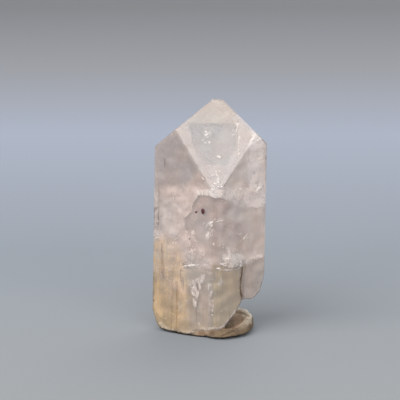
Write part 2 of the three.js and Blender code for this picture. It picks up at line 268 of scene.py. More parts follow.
def danburite_material():
    """Clear crystal: striated along its axis, and stained with iron at the lower left corner."""
    shader = Shader("danburite")
    place = shader.millimetres(lean=LEAN_BACK)
    streaks = shader.millimetres(stretch=(1, 1, 0.05), lean=LEAN_BACK)
    cloud = shader.noise(place, 0.22, detail=3)
    clean = shader.between(shader.range(cloud), CLEAN)
    axes = shader.node("SeparateXYZ", {"Vector": place}).outputs
    left = shader.math("MULTIPLY", axes["X"], -0.12)
    low = shader.math("MULTIPLY", axes["Z"], -0.09)
    patches = shader.math("MULTIPLY", shader.noise(place, 0.6, detail=5), 1.6)
    stain = shader.math("ADD", shader.math("ADD", left, low), patches)
    base = shader.mix(shader.range(stain, 0.5, 1.4), clean, IRON)
    roughness = shader.range(shader.noise(place, 0.6, detail=2), 0.3, 0.75, 0.0, 0.05)
    relief = shader.math("ADD", shader.noise(streaks, 2.6, detail=4), shader.noise(place, 0.5))
    bump = shader.node("Bump", {"Height": relief, "Strength": 0.03, "Distance": 0.08 * MM})
    surface = shader.node("BsdfPrincipled", {
        "Base Color": base,
        "Roughness": roughness,
        "IOR": IOR,
        "Transmission Weight": TRANSMISSION,
        "Normal": bump.outputs["Normal"],
    })
    volume = shader.node("VolumeAbsorption", {"Color": THROUGH, "Density": ABSORPTION})
    # caustics are off, so the lamps reach the sheets inside through an open surface
    open_to_lamps = shader.node("BsdfTransparent", {"Color": LAMP_TONE})
    both = shader.node("MixShader", {"Fac": shader.node("LightPath").outputs["Is Shadow Ray"]})
    shader.feed(both.inputs[1], surface.outputs[0])
    shader.feed(both.inputs[2], open_to_lamps.outputs[0])
    return shader.finish(both.outputs[0], volume.outputs[0])


def putty_material():
    """Putty: speckled; painted light in its dish, painted highlight on its rim, painted shade by
    the floor.
    """
    shader = Shader("putty")
    place = shader.millimetres()
    blotches = shader.range(shader.noise(place, 0.8, detail=5, roughness=0.6))
    dish_lit = shader.mix(shader.attribute("dish"), shader.between(blotches, PUTTY), PUTTY_DISH_LIGHT)
    rim_highlight = shader.mix(shader.attribute("rim"), dish_lit, PUTTY_RIM_HIGHLIGHT)
    specks = shader.range(shader.noise(place, 6, detail=3), 0.62, 0.7)
    speckled = shader.mix(specks, rim_highlight, PUTTY_SPECKS)
    base = shader.mix(shader.attribute("foot"), speckled, PUTTY_FLOOR_SHADE)
    grain = shader.noise(place, 7, detail=6, roughness=0.7)
    bump = shader.node("Bump", {"Height": grain, "Strength": 0.6, "Distance": 0.08 * MM})
    surface = shader.node("BsdfPrincipled", {
        "Base Color": base, "Roughness": 0.72, "Normal": bump.outputs["Normal"],
    })
    return shader.finish(surface.outputs[0])


def set_material(piece, material):
    piece.data.materials.clear()
    piece.data.materials.append(material)


set_material(crystal_solid, danburite_material())


# --- Inside the crystal -----------------------------------------------------------------------

SHEET_THICKNESS = 0.03
PUSHES = (0, 0.15, 0.3, -0.3, -0.6, -0.9, 0.6)  # tried in turn, to clear the surface
COARSE_SHARE = 0.65  # of a sheet's patches, and the rest is fine
THINNING = 0.3  # how far the patches draw back where a sheet fades out


def inside_outline(spot, outline):
    """True if a spot lies in a polygon of spots."""
    x, y = spot
    found = False
    for (ax, ay), (bx, by) in zip(outline, outline[1:] + outline[:1]):
        if (ay > y) != (by > y) and x < (bx - ax) * (y - ay) / (by - ay) + ax:
            found = not found
    return found


def line_distance(point, line):
    """The distance from a point to a line through several points."""
    nearest = math.inf
    for start, end in zip(line, line[1:]):
        run = end - start
        share = clamped((point - start).dot(run) / run.length_squared)
        nearest = min(nearest, (point - start - run * share).length)
    return nearest


def seen_from(azimuth):
    """Like place_inside, but straight in from a side. Spots are millimetres right and up."""
    angle = math.radians(azimuth)
    outwards = Vector((math.sin(angle), -math.cos(angle), 0))
    right = Vector((math.cos(angle), math.sin(angle), 0))

    def place(spot, depth):
        start = outwards * OUTSIDE + right * spot[0] + Vector((0, 0, spot[1]))
        hit, normal, _, _ = crystal_tree.ray_cast(start, -outwards)
        return hit - outwards * depth if hit and normal.y > FRONT_FACING else None

    return place


def sheet_point(place, spot, depth, crumple, clear):
    """The sheet's depth at a spot, pushed in or pulled out until it is clear of the surface."""
    start = place(spot, depth)
    if not start:
        return None
    here = depth + crumple * noise.noise(start * 0.7)
    for push in PUSHES:
        if here + push > clear and is_inside(place(spot, here + push), clear):
            return here + push
    return None


def add_sheet(form, cover, sheet, crumple, place, step, calm, cut, clear):
    """A thin crumpled sheet under the surface. It fills an outline and thins out at its edge."""
    depth, strength, fade, outline = sheet
    border = [Vector(spot) for spot in (*outline, outline[0])]
    xs, ys = zip(*outline)
    front, back = {}, {}
    for i in range(math.floor(min(xs) / step), math.ceil(max(xs) / step) + 1):
        for j in range(math.floor(min(ys) / step), math.ceil(max(ys) / step) + 1):
            spot = (i * step, j * step)
            if not inside_outline(spot, outline) or inside_outline(spot, cut):
                continue
            here = sheet_point(place, spot, depth, crumple, clear)
            if here is None:
                continue
            for side, further in ((front, 0), (back, SHEET_THICKNESS)):
                vertex = form.verts.new(place(spot, here + further) * MM)
                vertex[cover] = strength * min(1, line_distance(Vector(spot), border) / fade)
                side[i, j] = vertex
    rings = [[(i, j), (i + 1, j), (i + 1, j + 1), (i, j + 1)] for i, j in front]
    rings = [ring for ring in rings if all(corner in front for corner in ring)]
    sides = {(ring[k - 1], ring[k]) for ring in rings for k in range(4)}
    for ring in rings:
        form.faces.new([front[corner] for corner in ring])
        form.faces.new([back[corner] for corner in reversed(ring)])
    for start, end in sides:
        if (end, start) not in sides:
            form.faces.new((front[end], front[start], back[start], back[end]))
    for _ in range(calm):
        bmesh.ops.smooth_vert(form, verts=[*front.values(), *back.values()], factor=0.5,
                              use_axis_x=True, use_axis_y=True, use_axis_z=True)


def finish_piece(form, name, material, smooth=False):
    """Makes the form a piece of the visual model."""
    mesh = bpy.data.meshes.new(name)
    loose = [v for v in form.verts if not v.link_faces]
    bmesh.ops.delete(form, geom=loose, context="VERTS")
    bmesh.ops.recalc_face_normals(form, faces=form.faces)
    for face in form.faces:
        face.smooth = smooth
    form.to_mesh(mesh)
    form.free()
    if smooth:
        mesh.set_sharp_from_angle(angle=math.radians(60))
    piece = add_object(name, mesh)
    mesh.materials.append(material)
    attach(piece, "root")


def veil_material(name, tones, scale, low=NOISE_LOW, high=NOISE_HIGH, fine=4, opacity=(0, 1),
                  stretch=(1, 1, 1), rough=0.3, detail=4, painted_glow=0):
    """A healed fracture or a cloud: pale patches that scatter light, thinner where cover is low.

    The patches start where the noise rises over low, and are whole where it rises over high.
    Opacity is given between the patches and in them.
    """
    shader = Shader(name)
    place = shader.millimetres(stretch=stretch, lean=LEAN_BACK)
    coarse = shader.noise(place, scale, detail=detail, roughness=0.55)
    small = shader.noise(place, scale * fine, detail=detail, roughness=0.55)
    both = shader.math("ADD", shader.math("MULTIPLY", coarse, COARSE_SHARE),
                       shader.math("MULTIPLY", small, 1 - COARSE_SHARE))
    cover = shader.attribute("cover")
    lack = shader.math("MULTIPLY", shader.math("SUBTRACT", 1, cover), THINNING)
    patches = shader.range(shader.math("SUBTRACT", both, lack), low, high, *opacity)
    alpha = shader.math("MULTIPLY", patches, shader.range(cover, 0, 1))
    tone = shader.between(shader.range(small), tones)
    bump = shader.node("Bump", {"Height": small, "Strength": 1, "Distance": rough * MM})
    # any painted glow is emission, not light that the patches get
    surface = shader.node("BsdfPrincipled", {
        "Base Color": tone, "Roughness": 0.4, "Alpha": alpha, "Normal": bump.outputs["Normal"],
        "Emission Color": PAINTED_GLOW_TONE, "Emission Strength": painted_glow,
    })
    return shader.finish(surface.outputs[0])


def make_veils(name, look, sheets, crumple=0.3, place=place_behind, step=1, calm=0, cut=(),
               clear=0.1):
    """Sheets of one kind. Each has its depth, its strength, how far it fades in, and its outline.

    The look is what veil_material() takes. A sheet's corners are a step apart, it is smoothed as
    often as calm says, and it keeps clear of the surface. The outline called cut is left open,
    with a sharp edge.
    """
    form = bmesh.new()
    cover = form.verts.layers.float.new("cover")
    for sheet in sheets:
        add_sheet(form, cover, sheet, crumple, place, step, calm, cut, clear)
    finish_piece(form, name, veil_material(name, **look), smooth=True)


# The sides that the picture doesn't show. These outlines are in millimetres.
CLOUD = ((238, 226, 220), (228, 220, 216))
for side, azimuth in (("right", 100), ("back", 180), ("left", 260)):
    make_veils(f"{side}_cloud", dict(
            tones=CLOUD, scale=0.3, opacity=(0.1, 0.7), detail=3, rough=0.1), [
        (1.6, 1, 2.5, [(-9, 2.5), (9, 2.5), (9, 30), (4, 33), (-4, 33), (-9, 30)]),
    ], crumple=0.9, place=seen_from(azimuth), step=0.35, calm=3)

# Haze all over the left and the right prism faces, and a greyer part to the left of the kite.
LEFT_HAZE = ((210, 193, 186), (204, 189, 183))
RIGHT_HAZE = ((248, 236, 232), (238, 230, 227))
make_veils("left_haze", dict(
        tones=LEFT_HAZE, scale=0.25, opacity=(0.3, 0.55), detail=1, rough=0.02), [
    (1.3, 1, 8, [(138, 150), (156, 132), (174, 118), (196, 142), (214, 168), (224, 182),
                 (224, 286), (138, 286)]),
])
make_veils("right_haze", dict(
        tones=RIGHT_HAZE, scale=0.25, opacity=(0.35, 0.6), detail=1, rough=0.02), [
    (1.1, 1, 7, [(215, 200), (217, 186), (221, 176), (229, 156), (240, 136), (258, 118),
                 (284, 140), (284, 286), (215, 286)]),
])
SHADE = ((166, 159, 160), (176, 166, 165))
make_veils("left_shade", dict(
        tones=SHADE, scale=0.3, opacity=(0.15, 0.4), detail=1, rough=0.02), [
    (0.4, 1, 7, [(146, 138), (172, 122), (188, 144), (196, 164), (198, 182), (176, 190),
                 (146, 194)]),
])

# The kite: its cool middle, its pale edges and the warm part above.
KITE = ((168, 168, 170), (160, 161, 163))
make_veils("kite_cloud", dict(
        tones=KITE, scale=0.4, opacity=(0.3, 0.6), detail=0, rough=0.01), [
    (1.4, 1, 5, [(186, 121), (240, 121), (240, 152), (230, 170), (212, 172), (202, 164),
                 (192, 150), (186, 134)]),
])
EDGES = ((202, 189, 186), (194, 184, 181))
make_veils("kite_edges", dict(
        tones=EDGES, scale=0.4, opacity=(0.3, 0.6), detail=0, rough=0.01), [
    (0.5, 1, 2, [(172, 130), (187, 120), (192, 132), (194, 148), (202, 160), (207, 170),
                 (216, 189), (208, 190), (192, 163), (180, 146)]),
    (0.5, 1, 1.5, [(237, 118), (250, 129), (252.5, 137), (247.5, 148), (238, 163.5), (228, 179),
                   (222, 188), (218, 180), (237, 152)]),
    (0.6, 1, 3, [(202, 164), (237, 164), (228, 178), (221, 189.5), (214, 190)]),
])
CREAM = ((193, 183, 166), (187, 179, 169))
make_veils("cream_cloud", dict(
        tones=CREAM, scale=0.4, opacity=(0.3, 0.6), detail=1, rough=0.01), [
    (0.5, 1, 2, [(208, 92), (228, 92), (248, 116), (238, 124.5), (188, 124.5), (178, 118)]),
], place=place_inside)

# Milky veils round a clearer window in the middle, with a pink blush in it.
WINDOW = [(200, 195), (194.5, 203.5), (193, 211), (186, 219), (187, 228), (198, 240), (230, 244),
          (244, 234), (242, 212), (234, 205), (224, 198)]
MILK = ((242, 224, 216), (230, 216, 211))
make_veils("milky_veils", dict(
        tones=MILK, scale=0.35, low=0.38, high=0.62, opacity=(0.2, 0.65), detail=2, rough=0.03), [
    (0.7, 1, 9, [(130, 168), (164, 158), (192, 170), (214, 184), (216, 204), (206, 228),
                 (196, 250), (172, 256), (130, 250)]),
    (0.9, 1.1, 6, [(168, 236), (188, 226), (200, 236), (212, 254), (222, 256), (222, 274),
                   (172, 274), (152, 244)]),
], cut=WINDOW)
BLUSH = ((204, 174, 162), (194, 168, 158))
make_veils("window_blush", dict(
        tones=BLUSH, scale=0.3, opacity=(0.15, 0.45), detail=1, rough=0.02), [
    (0.6, 1, 6, [(201, 192), (193, 203), (192, 212), (199, 222), (214, 221), (226, 218),
                 (236, 208), (232, 200), (222, 193)]),
    (0.7, 0.75, 7, [(208, 226), (224, 216), (244, 218), (252, 236), (244, 256), (222, 258),
                    (206, 244)]),
])
BRIGHT = ((250, 247, 247), (248, 240, 239))
# Bright veils on the right; their painted glow lightens the right face, which the key lamp hardly
# reaches.
make_veils("right_veils", dict(
        tones=BRIGHT, scale=0.4, low=0.4, high=0.6, opacity=(0.2, 0.8), detail=2, rough=0.03,
        painted_glow=0.04), [
    # right upper corner
    (0.5, 1.3, 6, [(246, 136), (266, 120), (284, 140), (284, 202), (262, 200), (248, 194),
                   (242, 176)]),
    # under the kite
    (0.8, 1, 5, [(188, 184), (212, 184), (224, 186), (248, 184), (290, 176), (290, 212),
                 (244, 211), (234, 208), (200, 222)]),
    (0.6, 0.8, 3, [(195, 188), (232, 190), (240, 206), (190, 210)]),
    (0.9, 0.45, 6, [(222, 254), (246, 248), (280, 236), (280, 262), (244, 272), (222, 278)]),
], cut=WINDOW)

WHITE = ((255, 252, 250), (255, 246, 242))
make_veils("white_feathers", dict(
        tones=WHITE, scale=1.5, low=0.46, high=0.6, fine=3, opacity=(0, 0.65),
        stretch=(1, 1, 0.6), rough=0.3, painted_glow=0.09), [
    # lower tip of the kite and the band of flecks under it
    (0.3, 0.85, 2, [(203, 168), (212, 171), (222, 176), (230, 172), (222, 189), (212, 189)]),
    (0.3, 1.15, 1, [(194, 188), (212, 189), (224, 192), (250, 187), (264, 182), (263, 190),
                    (250, 194), (228, 202), (214, 197), (197, 196)]),
    (0.25, 1.2, 1, [(205, 190), (222, 191), (226, 198), (214, 199), (204, 194)]),
    (0.2, 1.25, 1, [(246, 190), (256, 186), (265, 180), (264, 187), (256, 190.5), (247, 194)]),
    # feather on the ledge, and a painted highlight along the ledge line
    (0.25, 0.8, 1, [(178, 264.5), (203, 262.5), (224, 265), (224, 269), (214, 270), (203, 266.5),
                    (193, 268), (178, 268)]),
    (0.25, 1.2, 1.5, [(220, 262), (246, 256), (264, 252), (264, 258), (246, 266), (237, 272),
                      (217, 272.5)]),
    (0.25, 1.15, 3, [(220, 252), (240, 250), (250, 258), (237, 270), (220, 270)]),
    (0.5, 1, 3, [(220, 244), (240, 246), (248, 258), (230, 264)]),
    (0.5, 0.9, 4, [(184, 250), (204, 245), (211, 262), (188, 268)]),
    # wisps in the middle
    (0.5, 1, 2, [(204, 222), (213, 218), (218, 219), (211, 228), (211, 242), (204, 243)]),
    (0.5, 0.8, 3, [(182, 228), (200, 227), (200, 266), (184, 260)]),
    (0.5, 1, 2, [(240, 230), (248, 232), (248, 244), (242, 242)]),
    (0.3, 0.85, 2, [(152, 205), (160, 205), (164, 240), (154, 240)]),
    # pale spots in the right upper corner and by the kite's right edge
    (0.3, 1, 2, [(250, 148), (266, 146), (266, 166), (250, 166)]),
    (0.3, 1, 1, [(234, 122), (240, 122), (242, 140), (235, 150)]),
    (0.25, 1.2, 1, [(204, 130), (212, 131), (214, 137), (208, 138)]),
    # a painted highlight along the small bright facet at the right shoulder
    (0.25, 1, 1, [(250, 146), (262, 137), (264, 139), (254, 148)]),
], place=place_inside)

# A painted highlight along the lower edge of the foot: a pale glowing sheet just inside it.
FOOT_EDGE_HIGHLIGHT = ((244, 232, 220), (214, 196, 178))
make_veils("foot_edge_highlight", dict(
        tones=FOOT_EDGE_HIGHLIGHT, scale=2, low=0.44, high=0.56, opacity=(0.15, 0.9), rough=0.2, painted_glow=0.06), [
    (0.08, 1, 1, [(157, 322), (164, 332), (180, 336), (198, 337), (203, 332), (222, 332),
                  (229, 326), (240, 310), (234.5, 309), (226, 321), (220, 326.4), (200, 327),
                  (195, 330.4), (180, 330), (168, 326.6), (161, 320)]),
], crumple=0.01, step=0.5, clear=0.04)

# The white fracture in the lower third.
FRACTURE = ((255, 248, 242), (232, 214, 204))
make_veils("white_fracture", dict(
        tones=FRACTURE, scale=2.6, low=0.46, high=0.58, fine=3, opacity=(0, 0.75),
        stretch=(1, 1, 0.4), rough=0.3, painted_glow=0.07), [
    (0.25, 1.1, 3, [(186, 283), (192, 278), (199, 274), (208, 268), (206, 284), (201, 293),
                    (199, 308), (191, 310), (189, 294)]),
    (0.45, 1.1, 2, [(189, 282), (204, 272), (203, 286), (196, 296), (195, 306), (191, 300)]),
    (0.25, 1.0, 2, [(214, 286), (221, 273), (227, 282), (219, 289)]),
    (0.25, 0.95, 2, [(205, 280), (214, 284), (216, 318), (206, 312)]),
], crumple=0.1, place=place_inside)

# The iron stain at the lower left, and its darker streaks.
STAIN = ((254, 226, 184), (221, 190, 148))
make_veils("stained_veils", dict(
        tones=STAIN, scale=0.5, low=0.36, high=0.62, opacity=(0.2, 0.8), stretch=(1, 1, 0.35),
        rough=0.2, detail=3), [
    (0.4, 0.95, 9, [(147, 240), (164, 228), (184, 242), (192, 270), (195, 300), (193, 326),
                    (174, 338), (154, 332), (147, 306)]),
    (0.9, 0.9, 8, [(152, 258), (176, 256), (200, 272), (200, 322), (172, 334), (150, 320)]),
])
STREAK = ((168, 124, 82), (146, 104, 68))
make_veils("stain_streaks", dict(
        tones=STREAK, scale=1.3, low=0.54, high=0.64, fine=3, opacity=(0, 0.5),
        stretch=(1, 1, 0.13), rough=0.1, detail=3), [
    (0.3, 1, 4, [(152, 236), (166, 230), (182, 244), (188, 270), (188, 346), (152, 346)]),
])

# Under the ledge: tan on the left, olive on the right, pink in the hanging block.
TAN = ((190, 172, 152), (176, 159, 138))
make_veils("tan_cloud", dict(
        tones=TAN, scale=0.35, low=0.3, high=0.6, opacity=(0.45, 0.8), stretch=(1, 1, 0.3),
        rough=0.1, detail=3), [
    (0.9, 1, 2, [(140, 268), (178, 268), (203, 266), (214, 270), (228, 271), (228, 352),
                 (140, 352)]),
    (1.7, 1, 4, [(140, 262), (172, 270), (214, 272), (232, 272), (232, 352), (140, 352)]),
    (2.8, 1, 4, [(176, 268), (214, 272), (232, 272), (232, 352), (176, 352)]),
    (0.5, 1, 4, [(180, 266.5), (204, 266), (216, 270), (216, 282), (186, 288)]),
    (0.5, 1, 5, [(176, 304), (212, 306), (212, 342), (176, 342)]),
])
CORNER = ((184, 166, 120), (168, 148, 106))
make_veils("corner_stain", dict(
        tones=CORNER, scale=0.8, low=0.4, high=0.6, opacity=(0.1, 0.7), rough=0.05, detail=3), [
    (0.25, 1, 4, [(154, 308), (162, 314), (172, 320), (172, 334), (162, 332), (154, 326)]),
])
OLIVE = ((194, 172, 128), (180, 158, 114))
make_veils("olive_cloud", dict(
        tones=OLIVE, scale=0.35, low=0.3, high=0.6, opacity=(0.45, 0.8), stretch=(1, 1, 0.3),
        rough=0.1, detail=3), [
    (0.8, 1, 4, [(210, 262), (224, 264), (240, 262), (248, 262), (242, 286), (246, 306),
                 (256, 352), (210, 352)]),
    (1.6, 1, 4, [(208, 272), (243, 268), (244, 302), (256, 352), (208, 352)]),
])
PINK = ((212, 196, 186), (200, 186, 176))
make_veils("block_cloud", dict(
        tones=PINK, scale=0.4, low=0.3, high=0.6, opacity=(0.4, 0.75), rough=0.1, detail=3), [
    (0.8, 1, 2, [(243, 267), (257, 258), (276, 252), (276, 310), (243, 310), (242, 286)]),
    (1.8, 1, 2, [(243, 267), (257, 258), (276, 252), (276, 310), (243, 310), (242, 286)]),
])


WISP_RINGS = 6
WISP_HALF_THICK = 0.02
WISP_NARROWEST = 0.012
GLINT = Vector((-0.34, -0.77, 0.54))  # half way between the key lamp and the front


def make_wisps(name, tone, painted_glow, clusters, seed):
    """Small bent slivers: open cracks that send the light back.

    A cluster is its middle spot, its width and height in spots, how many, their length in
    millimetres, their depth, their direction up from the right in degrees, and its spread.
    """
    pick = random.Random(seed)
    form = bmesh.new()
    for (column, row), (wide, high), count, length, depth, heading, spread in clusters:
        for _ in range(count):
            spot = (pick.gauss(column, wide / 2), pick.gauss(row, high / 2))
            middle = place_inside(spot, depth * pick.uniform(0.6, 1.5), clear=0.5)
            if is_inside(middle, 0.2):
                long = length * pick.uniform(0.5, 1.4)
                add_wisp(form, middle, long, pick.gauss(heading, spread), pick)
    finish_piece(form, name, wisp_material(name, tone, painted_glow))


def join_rings(form, rings):
    """A closed bar through rings of four corners."""
    for low, high in zip(rings, rings[1:]):
        for k in range(4):
            form.faces.new((low[k - 1], low[k], high[k], high[k - 1]))
    form.faces.new(rings[0])
    form.faces.new(rings[-1][::-1])


def add_wisp(form, middle, length, heading, pick):
    """One sliver, whose flat side is turned about half way between the key lamp and the front."""
    angle = math.radians(heading)
    tilt = Vector((pick.gauss(0, 0.3), pick.gauss(0, 0.3), pick.gauss(0, 0.3)))
    flat = (GLINT + tilt).normalized()
    onward = Vector((math.cos(angle), 0, math.sin(angle)))
    onward = (onward - flat * onward.dot(flat)).normalized()
    side = flat.cross(onward)
    bend, half = pick.gauss(0, 0.16), length * pick.uniform(0.09, 0.24)
    rings = []
    for k in range(WISP_RINGS):
        share = 2 * k / (WISP_RINGS - 1) - 1
        centre = middle + onward * (share * length / 2) + side * (bend * length * share**2)
        width = max(WISP_NARROWEST, half * (1 - share**2) * pick.uniform(0.5, 1))
        thick = flat * WISP_HALF_THICK
        corners = [centre + side * width, centre + thick, centre - side * width * 0.8,
                   centre - thick]
        rings.append([form.verts.new(corner * MM) for corner in corners])
    join_rings(form, rings)


def wisp_material(name, tone, painted_glow):
    shader = Shader(name)
    # the painted glow is emission, added to what the slivers reflect
    surface = shader.node("BsdfPrincipled", {
        "Base Color": tone, "Roughness": 0.35, "Metallic": 0.3,
        "Emission Color": PAINTED_GLOW_TONE, "Emission Strength": painted_glow,
    })
    return shader.finish(surface.outputs[0])


make_wisps("bright_wisps", colour(255, 252, 249), 0.1, [
    ((208.5, 133.5), (5, 3), 9, 0.6, 0.5, -15, 30),
    ((206, 142), (5, 3), 5, 0.4, 0.6, 50, 40),
    ((237.5, 126), (1.5, 5), 4, 0.5, 0.5, 80, 15),
    ((233.5, 132), (2, 3), 3, 0.35, 0.5, 60, 30),
    ((239, 146), (3, 12), 5, 0.5, 0.6, 80, 20),
    ((214, 175), (10, 5), 8, 0.8, 0.5, -25, 20),
    ((219, 185), (8, 5), 10, 0.6, 0.4, -35, 30),
    ((257, 140), (5, 3), 7, 0.6, 0.3, 40, 15),
    ((222, 196), (7, 4), 12, 0.5, 0.5, 30, 50),
    ((257, 187.5), (7, 3), 6, 1.0, 0.4, 45, 12),
    ((233, 261), (10, 5), 26, 0.6, 0.3, -40, 30),
    ((230, 266), (10, 2), 12, 0.6, 0.25, 5, 15),
    ((242, 265), (5, 2), 10, 0.5, 0.25, 25, 20),
    ((186, 265.5), (14, 2), 8, 0.8, 0.3, 5, 10),
    ((213, 268), (14, 2), 6, 0.6, 0.3, -5, 15),
    ((258, 257), (8, 2), 4, 0.5, 0.3, 10, 20),
    ((203, 273), (3, 3), 7, 0.7, 0.25, 60, 12),
    ((199, 279), (4, 4), 12, 0.8, 0.25, 65, 15),
    ((193, 284), (5, 4), 9, 0.7, 0.25, 40, 40),
    ((194, 292), (3, 7), 10, 0.6, 0.25, 80, 20),
], seed=5)
make_wisps("soft_wisps", colour(242, 234, 230), 0.05, [
    ((216, 157.5), (5, 1.2), 4, 0.6, 0.6, -5, 12),
    ((207, 164), (6, 4), 3, 0.5, 0.6, 15, 20),
    ((206, 192), (12, 5), 9, 0.4, 0.5, 60, 40),
    ((238, 189), (14, 2), 6, 0.6, 0.5, -5, 20),
    ((257, 155), (6, 8), 5, 0.5, 0.5, 80, 20),
    ((258, 172), (8, 14), 6, 0.6, 0.5, 75, 25),
    ((172, 169), (8, 6), 4, 0.35, 0.6, 0, 60),
    ((168, 182), (12, 14), 6, 0.3, 0.6, 40, 50),
    ((176, 195), (16, 14), 5, 0.3, 0.6, 40, 50),
    ((217.5, 219.8), (6, 1.5), 5, 0.6, 0.6, 12, 10),
    ((209, 226), (5, 6), 7, 0.5, 0.6, 60, 20),
    ((210, 236), (5, 8), 6, 0.5, 0.6, 85, 10),
    ((245, 238), (6, 5), 7, 0.6, 0.6, 60, 30),
    ((194, 234), (8, 3), 5, 0.4, 0.5, 0, 40),
    ((187, 245), (6, 12), 5, 0.5, 0.5, 80, 15),
    ((156, 228), (4, 16), 8, 0.5, 0.3, 70, 30),
    ((174, 241), (8, 5), 4, 0.5, 0.5, 50, 40),
    ((197, 252), (8, 5), 7, 0.35, 0.6, 50, 50),
    ((221, 245), (4, 2), 3, 0.4, 0.6, 0, 20),
    ((193, 303), (3, 6), 6, 0.4, 0.25, 75, 25),
    ((207, 291), (2, 7), 7, 0.6, 0.25, -70, 15),
    ((221, 283), (5, 3), 4, 0.6, 0.4, 30, 20),
    ((222, 311), (8, 1.5), 4, 0.7, 0.4, 5, 8),
    ((205, 318), (14, 14), 8, 0.4, 0.4, 80, 20),
    ((170, 278), (8, 26), 9, 0.35, 0.3, 80, 25),
    ((168, 312), (14, 20), 6, 0.3, 0.3, 70, 30),
    ((171, 271), (6, 8), 10, 0.35, 0.3, 80, 30),
], seed=6)


CRACK_STEPS = 5  # rings of a crack between two of its spots
CRACKS = [  # line of spots, the two depths, half of the width
    ([(242.7, 267), (242.5, 273), (241.6, 279), (240.7, 286), (241.4, 292), (243.4, 298)],
     (0.12, 0.6), 0.022),
    ([(164.6, 158.5), (164.9, 163), (164.4, 167)], (0.1, 0.35), 0.06),
    ([(158.8, 188), (159.3, 198), (158.3, 208), (158, 219), (158.5, 231)], (0.12, 0.35), 0.045),
]
CRACK_DIRT = ((70, 52, 40), (120, 96, 74))


def add_crack(form, line, depths, half):
    """A thin irregular wall that follows a line of spots, between two depths under the face."""
    rings = []
    for (ax, ay), (bx, by) in zip(line, line[1:]):
        for k in range(CRACK_STEPS):
            share = k / CRACK_STEPS
            start, onward = entry((ax + (bx - ax) * share, ay + (by - ay) * share))
            shift = Vector((0.05 * noise.noise(start * 3), 0, 0))
            aside = Vector((max(0.015, half * (1 + 1.7 * noise.noise(start * 1.7))), 0, 0))
            near, far = (start + onward * depth + shift for depth in depths)
            rings.append([form.verts.new(corner * MM) for corner in (
                near - aside, near + aside, far + aside, far - aside)])
    join_rings(form, rings)


def make_cracks():
    """Brown dirt in the crack beside the hanging block, and in two cracks by the left edge."""
    form = bmesh.new()
    for crack in CRACKS:
        add_crack(form, *crack)
    shader = Shader("crack_dirt")
    tone = shader.between(shader.noise(shader.millimetres(), 3), CRACK_DIRT)
    surface = shader.node("BsdfPrincipled", {"Base Color": tone, "Roughness": 0.8})
    finish_piece(form, "crack_dirt", shader.finish(surface.outputs[0]))


make_cracks()


GRAINS = [  # spot, depth, half of its size along X, Y and Z
    ((203.2, 211.6), 0.3, (0.42, 0.38, 0.52)),
    ((196.4, 212), 0.2, (0.26, 0.24, 0.24)),
    ((189.6, 238.6), 0.25, (0.18, 0.16, 0.18)),
    ((224, 262), 0.5, (0.08, 0.08, 0.1)),
]
RED_BROWN = ((48, 12, 9), (92, 32, 24))


def make_grain(form, spot, depth, size, pick):
    """One dark grain: a small irregular lump."""
    middle = place_inside(spot, depth)
    turn = Matrix.Rotation(pick.uniform(0, math.tau), 3, "Z")
    grain = bmesh.ops.create_icosphere(form, subdivisions=2, radius=1)
    for vertex in grain["verts"]:
        rough = 1 + 0.35 * noise.noise(vertex.co * 1.3 + middle)
        shape = Vector((c * s for c, s in zip(vertex.co, size))) * rough
        vertex.co = (middle + turn @ shape) * MM


def grain_material():
    shader = Shader("red_brown_grains")
    tone = shader.between(shader.noise(shader.millimetres(), 4, detail=3), RED_BROWN)
    surface = shader.node("BsdfPrincipled", {"Base Color": tone, "Roughness": 0.4})
    return shader.finish(surface.outputs[0])


def make_grains():
    form = bmesh.new()
    pick = random.Random(8)
    for grain in GRAINS:
        make_grain(form, *grain, pick)
    finish_piece(form, "red_brown_grains", grain_material())


make_grains()


# --- Putty ------------------------------------------------------------------------------------

PUTTY_MIDDLE = Vector((1.55, -2.46, 0))
PUTTY_VOXEL = 0.11
SECTORS = 8  # for each radian round the middle, to take the rim's height in
RIM_STARTS = 0.72  # as a share of the rim's height
CREASES = [
    [(235.5, 312.5), (240, 312.6), (244, 313.6), (249, 315.5)],
    [(222, 336), (229, 333), (235, 330)],
]
CREASE_DEPTH = 0.3
CREASE_REACH = 0.42
FLAT_FOOT = 0.3  # under this height the lumps fade out, so the putty stands flat
CLING = 0.65  # putty nearer to the crystal than this is drawn to it
CLING_MOST = 0.92  # of the way
UNDERCUT = 0.5  # how far the edge goes in at the floor
UNDERCUT_HEIGHT = 0.42
UNDERCUT_FROM = 3  # from the middle outwards


def refined(solid, voxel):
    """A copy of a solid's mesh in millimetres, evenly divided and a little smoothed."""
    piece = add_object("refined", solid.data.copy())
    piece.data.transform(Matrix.Scale(1 / MM, 4))
    remesh = piece.modifiers.new("remesh", "REMESH")
    remesh.mode = "VOXEL"
    remesh.voxel_size = voxel
    relax = piece.modifiers.new("relax", "SMOOTH")
    relax.factor = 0.5
    relax.iterations = 4
    shape = piece.evaluated_get(bpy.context.evaluated_depsgraph_get())
    mesh = bpy.data.meshes.new_from_object(shape)
    bpy.data.objects.remove(piece)
    return mesh


def away_from_middle(place):
    """The level direction from the putty's middle to a place, and the sector it lies in."""
    outwards = Vector((place.x - PUTTY_MIDDLE.x, place.y - PUTTY_MIDDLE.y, 0)).normalized()
    return outwards, round(math.atan2(outwards.y, outwards.x) * SECTORS)


